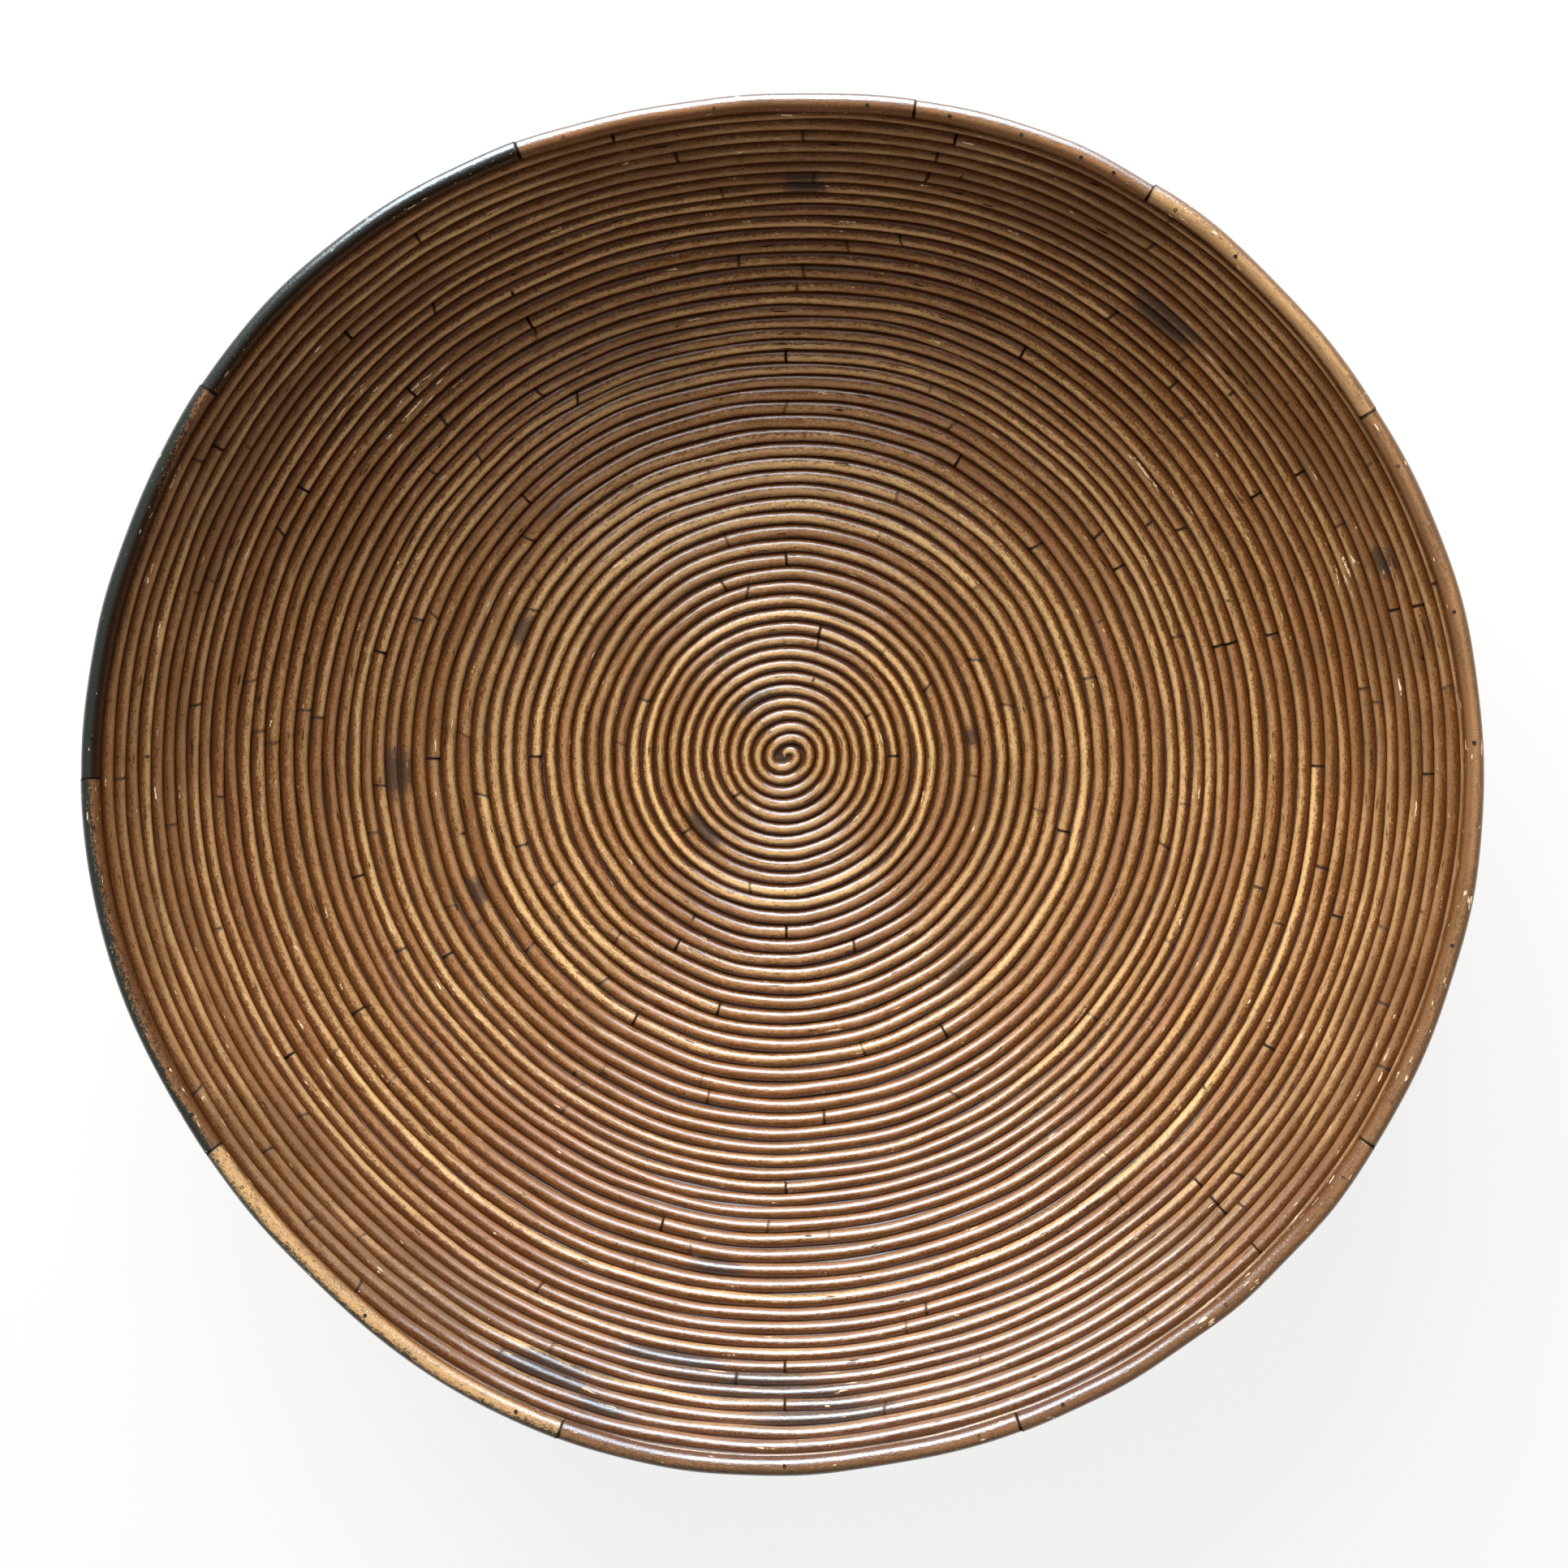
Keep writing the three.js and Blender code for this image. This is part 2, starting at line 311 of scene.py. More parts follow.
class BowlForm:
    """The form that the reed is wound on, worked out from the sizes."""

    def __init__(self, sizes):
        self.sizes = sizes
        reeds = {"thin": sizes.thin_reed, "middle": sizes.middle_reed, "thick": sizes.thick_reed}
        self.band_turns = np.array([turn for turn, _ in REED_BANDS], float)
        self.band_reeds = np.array([reeds[reed] for _, reed in REED_BANDS])
        steps = np.diff(self.band_turns) * (self.band_reeds[1:] + self.band_reeds[:-1]) / 2
        self.band_distances = np.concatenate([[0.0], np.cumsum(steps)])
        self.base_radius = sizes.base_diameter / 2
        self.floor_height = sizes.thin_reed / 2 - sizes.sole_cut
        self.last_turn = sizes.coil_turns + sizes.taper_turns
        self.coil_top = self.distance(sizes.coil_turns) + self.thickness(sizes.coil_turns) / 2
        self.rim_distance = self.coil_top + sizes.turn_gap + sizes.rim_reed / 2
        self.rim_radius = self.profile(self.rim_distance)[0]

    def thickness(self, turn):
        """Thickness of the reed at a turn."""
        return np.interp(turn, self.band_turns, self.band_reeds)

    def distance(self, turn):
        """Distance along the profile from the middle to the reed's centre at a turn."""
        band = np.searchsorted(self.band_turns, turn, side="right") - 1
        since = turn - self.band_turns[band]
        laid = self.band_distances[band] + since * (self.band_reeds[band] + self.thickness(turn)) / 2
        return self.sizes.core_radius + self.sizes.turn_gap * turn + laid

    def profile(self, distance):
        """Radius, height and slope at a distance along the profile."""
        wall = self.sizes.wall_radius
        slope = np.maximum(distance - self.base_radius, 0) / wall
        radius = np.minimum(distance, self.base_radius) + wall * np.sin(slope)
        height = self.floor_height + wall * (1 - np.cos(slope))
        return radius, height, slope

    def place(self, distance, angle):
        """Points on the profile, with the directions up the wall and into the bowl there."""
        top = self.coil_top
        for waves, size, phase, twist in ROW_WAVES:
            share = ramp(distance, *ROW_WAVES_RISE) * ramp(distance, top, top - ROW_WAVES_FALL)
            wave = np.cos(waves * angle + math.radians(phase) + twist * distance)
            distance = distance + share * size / 1000 * wave
        radius, height, slope = self.profile(distance)
        share = (radius / self.rim_radius) ** OUTLINE_GROWTH
        for waves, size, phase in OUTLINE_WAVES:
            radius = radius + share * size / 1000 * np.cos(waves * angle + math.radians(phase))
        outward = np.stack([np.cos(angle), np.sin(angle), np.zeros_like(angle)], 1)
        up = np.array([[0.0, 0.0, 1.0]])
        centre = outward * radius[:, None] + up * height[:, None]

        degrees, reach, stretch, squeeze = CORE_OVAL
        longest = np.array([math.cos(math.radians(degrees)), math.sin(math.radians(degrees)), 0.0])
        shortest = np.array([-longest[1], longest[0], 0.0])
        share = stretch * np.exp(-((radius / reach) ** 2))[:, None]
        longer = share * (centre @ longest)[:, None] * longest
        centre += longer - squeeze * share * (centre @ shortest)[:, None] * shortest
        rise, run = np.sin(slope)[:, None], np.cos(slope)[:, None]
        return centre, outward * run + up * rise, up * run - outward * rise

    def coil(self, turn):
        """Centre, directions and half thickness of the coil at each turn, the last one shaved to a taper."""
        tuck = np.clip(-turn / TUCK_TURNS, 0, 1)
        wound = np.maximum(turn, 0)
        depth = self.thickness(wound)
        bottom = self.distance(wound) - depth / 2
        width = np.minimum(depth, self.coil_top - bottom)
        distance = (bottom + width / 2) * (1 - tuck) ** TUCK_BEND
        centre, up_wall, inward = self.place(distance, -2 * math.pi * turn)
        centre[:, 2] -= TUCK_DIP * depth * tuck**2
        half = (np.maximum(width, RUN_OUT_TIP - self.sizes.turn_gap) + self.sizes.turn_gap) / 2
        return centre, up_wall, inward, half * (1 - TUCK_TAPER * tuck)

    def rim(self, angle):
        """Centre, directions and half thickness of the level rim at each angle."""
        centre, up_wall, inward = self.place(np.full_like(angle, self.rim_distance), angle)
        half = np.full_like(angle, (self.sizes.rim_reed + self.sizes.turn_gap) / 2)
        return centre, up_wall, inward, half

    def coil_joints(self):
        """Turns at which the lengths of the coil begin, and at which the last one ends."""
        stations, step = [], 0
        while step <= round(self.last_turn * COIL_STEPS):
            turn = step / COIL_STEPS
            stations.append(turn)
            step += COIL_STEPS // CORE_STEPS if turn < CORE_TURNS else 1
        stations = np.array(stations)
        index = np.arange(COIL_PIECES)
        moved = np.maximum(index + JOINT_SPREAD * np.sin(index * GOLDEN_ANGLE), 0)
        turns = self.last_turn * np.sqrt(moved / COIL_PIECES)
        starts = stations[np.searchsorted(stations, turns - 1e-9)]
        return [-TUCK_TURNS, *starts[1:], self.sizes.coil_turns + RUN_OUT_TURNS]


class Wire:
    """One output of a material's nodes. Sums and products of wires add the nodes that work them out."""

    def __init__(self, tree, socket):
        self.tree = tree
        self.socket = socket

    @staticmethod
    def add(tree, kind, settings=None, inputs=None, output=0):
        """Adds a node, sets its settings, fills its sockets with values or wires, and gives an output."""
        node = tree.nodes.new(kind)
        for key, value in (settings or {}).items():
            setattr(node, key, value)
        for key, value in (inputs or {}).items():
            socket = node.inputs[key]
            if isinstance(value, Wire):
                tree.links.new(value.socket, socket)
            elif socket.type == "RGBA" and len(value) == 3:
                socket.default_value = (*value, 1.0)
            else:
                socket.default_value = value
        return Wire(tree, node.outputs[output]) if node.outputs else node

    def _math(self, operation, first, second):
        return Wire.add(self.tree, "ShaderNodeMath", {"operation": operation}, {0: first, 1: second})

    def __add__(self, other):
        return self._math("ADD", self, other)

    def __radd__(self, other):
        return self._math("ADD", other, self)

    def __sub__(self, other):
        return self._math("SUBTRACT", self, other)

    def __rsub__(self, other):
        return self._math("SUBTRACT", other, self)

    def __mul__(self, other):
        return self._math("MULTIPLY", self, other)

    def __rmul__(self, other):
        return self._math("MULTIPLY", other, self)

    def __abs__(self):
        return Wire.add(self.tree, "ShaderNodeMath", {"operation": "ABSOLUTE"}, {0: self})

    def largest(self, other):
        """The larger of two values."""
        return self._math("MAXIMUM", self, other)

    def ease(self, low, high):
        """Rises smoothly from 0 at one value to 1 at another."""
        settings = {"interpolation_type": "SMOOTHSTEP"}
        inputs = {"Value": self, "From Min": low, "From Max": high}
        return Wire.add(self.tree, "ShaderNodeMapRange", settings, inputs)

    def noise(self, scale, detail, roughness):
        """Cloudy noise over a vector, about 0."""
        inputs = {"Vector": self, "Scale": scale, "Detail": detail, "Roughness": roughness}
        return Wire.add(self.tree, "ShaderNodeTexNoise", {"noise_dimensions": "3D"}, inputs) - 0.5

    def grain(self, stretch, detail, roughness):
        """Noise over a vector that is stretched on each axis."""
        inputs = {0: self, 1: stretch}
        stretched = Wire.add(self.tree, "ShaderNodeVectorMath", {"operation": "MULTIPLY"}, inputs)
        return stretched.noise(1.0, detail, roughness)

    def parts(self):
        """The three parts of a vector."""
        first = Wire.add(self.tree, "ShaderNodeSeparateXYZ", None, {0: self})
        return [Wire(self.tree, output) for output in first.socket.node.outputs]


def tint(tree, under, over, share):
    """One colour laid over another by a share from 0 to 1."""
    settings = {"data_type": "RGBA", "clamp_factor": True}
    return Wire.add(tree, "ShaderNodeMix", settings, {0: share, 6: under, 7: over}, output=2)


def new_material(name):
    """A material without nodes, and its empty tree."""
    material = bpy.data.materials.new(name)
    material.use_nodes = True
    material.node_tree.nodes.clear()
    return material, material.node_tree


def close_material(tree, inputs):
    """Ends a material's nodes with its shader and output."""
    shader = Wire.add(tree, "ShaderNodeBsdfPrincipled", None, inputs)
    Wire.add(tree, "ShaderNodeOutputMaterial", None, {0: shader})


def stored(tree, name):
    """The three values stored on a reed's points under a name."""
    return Wire.add(tree, "ShaderNodeAttribute", {"attribute_name": name}, output="Vector")


def bumps(tree, strength, distance, height):
    """Small bumps in a surface."""
    inputs = {"Strength": strength, "Distance": distance, "Height": height}
    return Wire.add(tree, "ShaderNodeBump", None, inputs)


def varnish_over(tree, colour, bump, roughness, coat, dirt):
    """Varnish over a reed's colour. Dirt counts as a dark metal, so that it mirrors none of the window."""
    inputs = {
        "Base Color": colour,
        "Metallic": dirt,
        "Roughness": roughness,
        "Normal": bumps(tree, 0.6, 0.0003, bump),
        "IOR": 1.5,
        "Specular IOR Level": 0.5,
        "Coat Weight": coat,
        "Coat Roughness": 0.16,
        "Coat IOR": 1.55,
    }
    close_material(tree, inputs)


def coil_varnish(finish):
    """Varnished reed of the coil, golden to brown, with painted shade in the grooves and on the flanks, cut,
    stained and chipped.
    """
    material, tree = new_material("varnished_coil_reed")
    place = stored(tree, "reed")
    _, side, _ = place.parts()
    tone, hue, mark = stored(tree, "shade").parts()
    stained, chipped, near_rim_dirt_and_shade = stored(tree, "wear").parts()
    here = Wire.add(tree, "ShaderNodeTexCoord", output="Object")

    # Grain along the reed from coarse to fine, clouds and flakes in its varnish, and smears across the turns
    fibre = place.grain((190.0, 2.4, 2.4), 3.0, 0.65)
    thread = place.grain((480.0, 7.0, 7.0), 2.0, 0.6)
    fray = place.grain((1100.0, 3.6, 3.6), 2.0, 0.6)
    cloud = place.grain((14.0, 0.5, 0.5), 5.0, 0.75)
    flake = place.grain((100.0, 1.9, 1.9), 2.0, 0.45)
    smear = here.noise(16.0, 4.0, 0.62)
    grain = 0.9 * fibre + 1.3 * thread + 1.5 * fray

    # The body of the reed, from brown to golden, with mauve and grime, the grime near the rim also painted
    # shade on the last turns
    depth = tone + 1.3 * cloud + grain - 0.9 * fray
    body = tint(tree, finish.brown, finish.golden, depth.ease(-0.1, 1.1))
    body = tint(tree, body, finish.mauve, hue * (0.6 + 1.2 * cloud))
    dirt_and_rim_shade = 1.6 * smear + 1.3 * cloud + 0.45 * near_rim_dirt_and_shade + 0.8 * grain
    body = tint(tree, body, finish.grime_and_shade, dirt_and_rim_shade.ease(0.0, 0.8) * 0.9)

    # Painted shade: dark in the grooves, darker on the flanks, and the body only on the lit crown
    top = 1.0 - abs(side) + 0.62 * grain + 0.5 * flake + 0.1 * near_rim_dirt_and_shade
    colour = tint(tree, finish.groove, finish.shaded_flank, top.ease(0.0, 0.5))
    colour = tint(tree, colour, body, top.ease(0.28, 0.9))

    # Stains, bare chips, pits and cuts
    dark = stained + 1.2 * cloud + 0.9 * grain
    colour = tint(tree, colour, finish.stain, dark.ease(0.35, 0.75) * 0.8)
    bare = (flake + 0.115 * chipped + 0.08 * grain).ease(0.235, 0.25) * top.ease(0.2, 0.4)
    colour = tint(tree, colour, finish.straw, bare)
    pit = (-0.21 - flake).ease(0.0, 0.02) * 0.8
    cut = mark.largest(pit)
    colour = tint(tree, colour, finish.mark, cut)

    bump = 0.5 * fibre + 0.5 * thread + 0.6 * fray - 0.5 * bare
    roughness = 0.3 + 0.2 * fray + 0.3 * bare + 0.5 * cut
    coat = 0.35 - 0.35 * bare.largest(cut).ease(0.0, 0.4)
    varnish_over(tree, colour, bump, roughness, coat, cut)
    return material


def rim_varnish(finish):
    """Varnished reed of the rim, golden to brown, with weathered slate lengths and painted shade on its
    inner and outer sides.
    """
    material, tree = new_material("varnished_rim_reed")
    place = stored(tree, "reed")
    _, side, crown = place.parts()
    tone, weather, mark = stored(tree, "shade").parts()
    _, chipped, _ = stored(tree, "wear").parts()
    fibre = place.grain((210.0, 2.8, 2.8), 3.0, 0.65)
    thread = place.grain((520.0, 8.5, 8.5), 2.0, 0.6)
    fray = place.grain((1100.0, 4.2, 4.2), 2.0, 0.6)
    cloud = place.grain((16.0, 0.6, 0.6), 5.0, 0.75)
    flake = place.grain((190.0, 2.6, 2.6), 2.0, 0.5)
    grain = 0.9 * fibre + 1.1 * thread + 1.6 * fray

    # The body of the reed, the browner lengths dirtier
    depth = tone + 0.9 * cloud + grain
    colour = tint(tree, finish.brown, finish.golden, depth.ease(-0.1, 1.1))
    colour = tint(tree, colour, finish.mauve, 0.3)
    colour = tint(tree, colour, finish.grime_and_shade, 0.7 - 0.6 * tone + 2.6 * cloud + 1.1 * grain)

    # Painted shade on the inner side and in the groove below, and painted shade in grime colour on the outer
    # side
    inner_shade = (crown + 0.25 * grain).ease(0.5, 0.95) * (0.84 - 0.8 * tone)
    colour = tint(tree, colour, finish.groove, inner_shade)
    colour = tint(tree, colour, finish.groove, (0.3 * grain - side).ease(-0.25, 0.4) * 0.8)
    outer_shade = 0.85 - 0.5 * tone + 1.1 * cloud + 0.8 * grain - crown
    colour = tint(tree, colour, finish.grime_and_shade, outer_shade.ease(0.0, 0.6) * 0.9)

    # Weathered slate, black on its inner side as painted shade, and on the outer side of the less weathered
    # lengths also painted shade; bare chips and cuts
    slate = tint(tree, finish.slate, finish.mark, (0.75 * crown - 0.5 * side).ease(0.0, 0.35))
    worn = 3.0 * weather - 0.45 - 0.8 * crown + 0.8 * cloud + 0.7 * grain
    colour = tint(tree, colour, slate, worn.ease(0.0, 0.5) * (0.3 + 1.6 * weather))
    bare = (flake + 0.11 * chipped).ease(0.22, 0.24)
    colour = tint(tree, colour, finish.straw, bare)
    colour = tint(tree, colour, finish.mark, mark)

    bump = 0.5 * fibre + 0.4 * thread + 0.6 * fray - 0.5 * bare
    roughness = 0.27 + 0.18 * fray + 0.3 * bare + 0.5 * mark
    varnish_over(tree, colour, bump, roughness, 0.2 - 0.2 * bare.largest(mark), mark)
    return material


def groove_glue(finish):
    """Glue and varnish that closes the grooves between the turns, coloured dark as painted shade in them."""
    material, tree = new_material("glue_dark_as_groove_shade")
    here = Wire.add(tree, "ShaderNodeTexCoord", output="Object")
    lumps = here.noise(420.0, 3.0, 0.6)
    inputs = {
        "Base Color": tint(tree, finish.mark, finish.groove, lumps.ease(-0.2, 0.2)),
        "Roughness": 0.5 + 0.3 * lumps,
        "Normal": bumps(tree, 0.5, 0.0004, lumps),
    }
    close_material(tree, inputs)
    return material


def brad_iron(finish):
    """Dull iron, slightly rusted."""
    material, tree = new_material("dull_brad_iron")
    here = Wire.add(tree, "ShaderNodeTexCoord", output="Object")
    rust = here.noise(2400.0, 3.0, 0.6)
    rusted = rust.ease(-0.05, 0.2)
    inputs = {
        "Base Color": tint(tree, finish.brad, finish.groove, rusted * 0.6),
        "Roughness": 0.7 + 0.3 * rust,
        "Metallic": 0.9 - 0.3 * rusted,
    }
    close_material(tree, inputs)
    return material


def seen_directly(tree):
    """1 for what the camera, a mirror or a glass sees, and 0 for light on the way to a surface."""
    path = Wire.add(tree, "ShaderNodeLightPath").socket.node
    camera, glossy, through = (
        Wire(tree, path.outputs[f"Is {ray} Ray"]) for ray in ("Camera", "Glossy", "Transmission")
    )
    return camera.largest(glossy).largest(through)


def pale_floor(finish):
    """Plain pale floor that keeps the bowl's shadow."""
    material, tree = new_material("pale_floor")
    here = Wire.add(tree, "ShaderNodeTexCoord", output="Object")
    colour = tint(tree, finish.floor, (0.80, 0.80, 0.80), here.noise(9.0, 4.0, 0.6) + 0.5)
    matt = Wire.add(tree, "ShaderNodeBsdfDiffuse", None, {"Color": colour})
    white = Wire.add(tree, "ShaderNodeEmission", None, {"Color": WHITE, "Strength": 1.0})
    away = Wire.add(tree, "ShaderNodeVectorMath", {"operation": "LENGTH"}, {0: here}, output="Value")
    share = seen_directly(tree) * (0.8 + 0.2 * away.ease(0.6, 2.2))
    both = Wire.add(tree, "ShaderNodeMixShader", None, {0: share, 1: matt, 2: white})
    Wire.add(tree, "ShaderNodeOutputMaterial", None, {0: both})
    return material


class Marks:
    """Cuts, nicks and changes of tone along one length of reed, chosen by a seeded generator."""

    def __init__(self, dice, length, spacing):
        self.cuts = []
        at = dice.uniform(CUT_PACE[0], 1.0) * spacing
        while at < length - END_FREE:
            full = dice.random() < FULL_CUTS
            cut = {"at": at, "full": full, "strength": dice.uniform(*CUT_STRENGTH)}
            cut["slant"] = dice.normal(0, FULL_SLANT if full else PART_SLANT)
            cut["middle"] = math.pi / 2 + dice.normal(0, PART_SPREAD)
            cut["reach"] = dice.uniform(*PART_REACH)
            self.cuts.append(cut)
            at += dice.uniform(*CUT_PACE) * spacing
        self.shades = [self.shade(dice)]
        for cut in self.cuts:
            last = self.shades[-1]
            if cut["full"]:
                fresh = self.shade(dice)
                last = tuple(SHADE_KEPT * a + (1 - SHADE_KEPT) * b for a, b in zip(last, fresh))
            self.shades.append(last)

    @staticmethod
    def shade(dice):
        """Tone from brown to golden, and share of mauve."""
        return tuple(np.clip(dice.normal(*chance), 0, 1) for chance in (TONE_CHANCE, MAUVE_CHANCE))


def worn_places(points, spots):
    """Share of wear from 0 to 1 at each point, round places longer along the reed than across it."""
    worn = np.zeros(len(points))
    for x, y, long_reach, cross_reach, strength in spots:
        spot = np.array([x, y]) / 1000
        across = spot / np.linalg.norm(spot)
        along = np.array([-across[1], across[0]])
        away = points[:, :2] - spot
        far = np.hypot(away @ along / long_reach, away @ across / cross_reach) * 1000
        worn = np.maximum(worn, strength * np.clip(WEAR_END - far, 0, 1))
    return worn


def ripple(dice, places, size, short, long):
    """A smooth chance wave along a reed."""
    wave = np.zeros_like(places)
    for _ in range(RIPPLE_WAVES):
        wave += np.sin(2 * math.pi * places / dice.uniform(short, long) + dice.uniform(0, 2 * math.pi))
    return wave * size / math.sqrt(RIPPLE_WAVES / 2)


def reed_stations(run, start, end, marks_for):
    """Places along one length, close enough for its bends, with extra ones at its ends and at each cut."""
    fine = np.linspace(start, end, RUN_SAMPLES)
    centre = run(fine)[0]
    steps = np.linalg.norm(np.diff(centre, axis=0), axis=1)
    arc = np.concatenate([[0.0], np.cumsum(steps)])
    last = arc[-1]
    marks = marks_for(last)
    radius = np.hypot(centre[:, 0], centre[:, 1])
    pace = np.minimum(STATION_STEP, BEND_STEP * np.maximum(radius, LEAST_BEND))
    count = np.concatenate([[0.0], np.cumsum(steps / ((pace[1:] + pace[:-1]) / 2))])
    places = np.interp(np.arange(1, math.ceil(count[-1])), count, arc)
    places = places[(places > END_CLEAR) & (places < last - END_CLEAR)]
    for cut in marks.cuts:
        places = places[np.abs(places - cut["at"]) > CUT_CLEAR]
    ends = [0.0, CUT_HALF, END_FADE, last - END_FADE, last - CUT_HALF, last]
    shifts = (-CUT_FADE, -CUT_HALF, 0, CUT_HALF, CUT_FADE)
    cuts = [cut["at"] + shift for cut in marks.cuts for shift in shifts]
    places = np.sort(np.concatenate([places, ends, cuts]))
    return np.interp(places, arc, fine), places, marks


def points_of(mesh):
    """The points of a mesh, one in each row."""
    points = np.empty(len(mesh.vertices) * 3)
    mesh.vertices.foreach_get("co", points)
    return points.reshape(-1, 3)


def store(mesh, name, *columns):
    """Stores three values on each of a reed's points under a name."""
    attribute = mesh.attributes.new(name, "FLOAT_VECTOR", "POINT")
    attribute.data.foreach_set("vector", np.column_stack(columns).ravel())


def bend_reed(name, sides, centre, half):
    """A closed round reed through a row of centres, bent as a curve and made a mesh."""
    rows = len(centre)
    bpy.ops.curve.primitive_nurbs_path_add()
    curve = bpy.context.object.data
    curve.splines.clear()
    spline = curve.splines.new("POLY")
    spline.points.add(rows - 1)
    spline.points.foreach_set("co", np.column_stack([centre, np.ones(rows)]).ravel())
    spline.points.foreach_set("radius", half)
    curve.dimensions = "3D"
    curve.twist_mode = "Z_UP"
    curve.bevel_depth = 1.0
    curve.bevel_resolution = sides // 2 - 2
    curve.use_fill_caps = True
    bpy.ops.object.convert(target="MESH")
    reed = bpy.context.object
    reed.name = reed.data.name = name
    count = len(reed.data.vertices)
    if count != (rows + 2) * sides:
        raise RuntimeError(f"{name} has {count} points for {rows} rows")
    return reed


def cut_reed(marks, along, row, side, crown, half):
    """Tone and hue of each row, and the dirt, the notch's depth and the slant at each point."""
    mark, sunk, shift = np.zeros((3, len(row)))
    tone = np.empty((len(along), 2))
    tone[:] = marks.shades[0]
    round_at = np.arctan2(crown, side)
    for cut, before, after in zip(marks.cuts, marks.shades, marks.shades[1:]):
        gap = along - cut["at"]
        tone[gap > -CUT_HALF / 2] = [(a + b) / 2 for a, b in zip(before, after)]
        tone[gap > CUT_HALF / 2] = after
        share = np.interp(np.abs(gap), [0, CUT_HALF, CUT_FADE], CUT_DIRT)[row]
        notch = np.interp(np.abs(gap), [0, CUT_HALF], [1.0, 0.0])[row]
        if not cut["full"]:
            turned = np.abs((round_at - cut["middle"] + math.pi) % (2 * math.pi) - math.pi)
            part = np.clip((cut["reach"] - turned) / PART_FADE, 0, 1)
            share, notch = share * part, notch * part
        mark = np.maximum(mark, share * cut["strength"])
        depth = FULL_NOTCH if cut["full"] else PART_NOTCH
        sunk = np.maximum(sunk, notch * depth * cut["strength"])
        shift += np.where(np.abs(gap) < CUT_LEAN, cut["slant"], 0)[row] * side * half[row]
    near_end = np.minimum(along, along[-1] - along)
    mark = np.maximum(mark, np.interp(near_end, [0, CUT_HALF, END_FADE], CUT_DIRT)[row])
    sunk = np.maximum(sunk, END_NOTCH * np.interp(near_end, [0, CUT_HALF], [1.0, 0.0])[row])
    # Where neighbouring turns touch, the reed keeps its thickness
    return tone, mark, sunk * ramp(np.abs(crown), *TOUCH_FADE), shift


def lay_reed(name, run, start, end, dice, sides, spacing, offset, dirt, shade_of):
    """One length of reed along its run, cut, nicked and uneven, as a closed mesh."""
    value, along, marks = reed_stations(run, start, end, lambda length: Marks(dice, length, spacing))
    centre, wall_up, inward, half = run(value)
    rows = len(value)
    uneven = np.clip(half / SWAY_FULL, 0, 1)
    centre = centre + wall_up * (uneven * ripple(dice, along, *SWAY_UP))[:, None]
    centre = centre + inward * (uneven * ripple(dice, along, *SWAY_IN))[:, None]
    half = half * (MEAN_SWELL + ripple(dice, along, *SWELL))
    reed = bend_reed(name, sides, centre, half)
    mesh = reed.data

    # The two end faces come first, each with its own row of points
    points = points_of(mesh)
    row = np.concatenate([np.zeros(sides, int), np.full(sides, rows - 1), np.repeat(np.arange(rows), sides)])
    if np.linalg.norm(points[0] - centre[0]) > np.linalg.norm(points[0] - centre[-1]):
        row[: 2 * sides] = row[: 2 * sides][::-1]

    # Where each point lies round the reed: to its side up the wall, and on its crown in the bowl
    ahead = np.gradient(centre, axis=0)
    ahead /= np.linalg.norm(ahead, axis=1)[:, None]
    inward = inward - ahead * np.sum(ahead * inward, axis=1)[:, None]
    inward /= np.linalg.norm(inward, axis=1)[:, None]
    up_wall = np.cross(inward, ahead)
    up_wall *= np.sign(np.sum(up_wall * wall_up, axis=1))[:, None]
    spoke = points - centre[row]
    side = np.sum(spoke * up_wall[row], axis=1) / half[row]
    crown = np.sum(spoke * inward[row], axis=1) / half[row]

    tone, mark, sunk, shift = cut_reed(marks, along, row, side, crown, half)
    points = centre[row] + spoke * (1 - sunk)[:, None] + ahead[row] * shift[:, None]
    mesh.vertices.foreach_set("co", points.ravel())

    reach = np.hypot(centre[:, 0], centre[:, 1])[row]
    floor = ramp(reach, *FLOOR_FADE)
    # Painted shade: darker tone over the near part of the bowl
    nearness = ramp(-centre[row, 1] / np.maximum(reach, 0.001), *NEAR_SPREAD)
    near = ramp(reach, *NEAR_RISE) * ramp(reach, *NEAR_FALL) * nearness
    # Painted shade: the crown's colours are shifted away from the up-wall side of each turn, and narrowed
    # near the middle of the floor
    shaded_side = side * (1 + FLOOR_NARROW_CROWN * floor) + dirt * ramp(reach, *SIDE_SHADE_RISE)
    shade = shade_of(tone)[row]
    shade[:, 0] += FLOOR_TONE * floor + NEAR_SHADE_TONE * near
    stains = worn_places(centre, STAINED_PLACES)[row] * ramp(crown, *STAIN_RISE)
    chips = worn_places(centre, CHIPPED_PLACES)[row]
    store(mesh, "reed", along[row] + offset, shaded_side, crown)
    store(mesh, "shade", shade, mark)
    # The third value of the wear is grime near the rim, also painted shade on the last turns
    store(mesh, "wear", stains, chips, ramp(reach, *RIM_DIRT_AND_SHADE_RISE))
    unroll(mesh, rows, sides, along, row, side, crown, 2 * math.pi * float(np.median(half)))

    close_seams(REED_MERGE)
    flatten_sole(mesh)
    bpy.ops.object.shade_smooth_by_angle(angle=math.radians(55))
    return reed


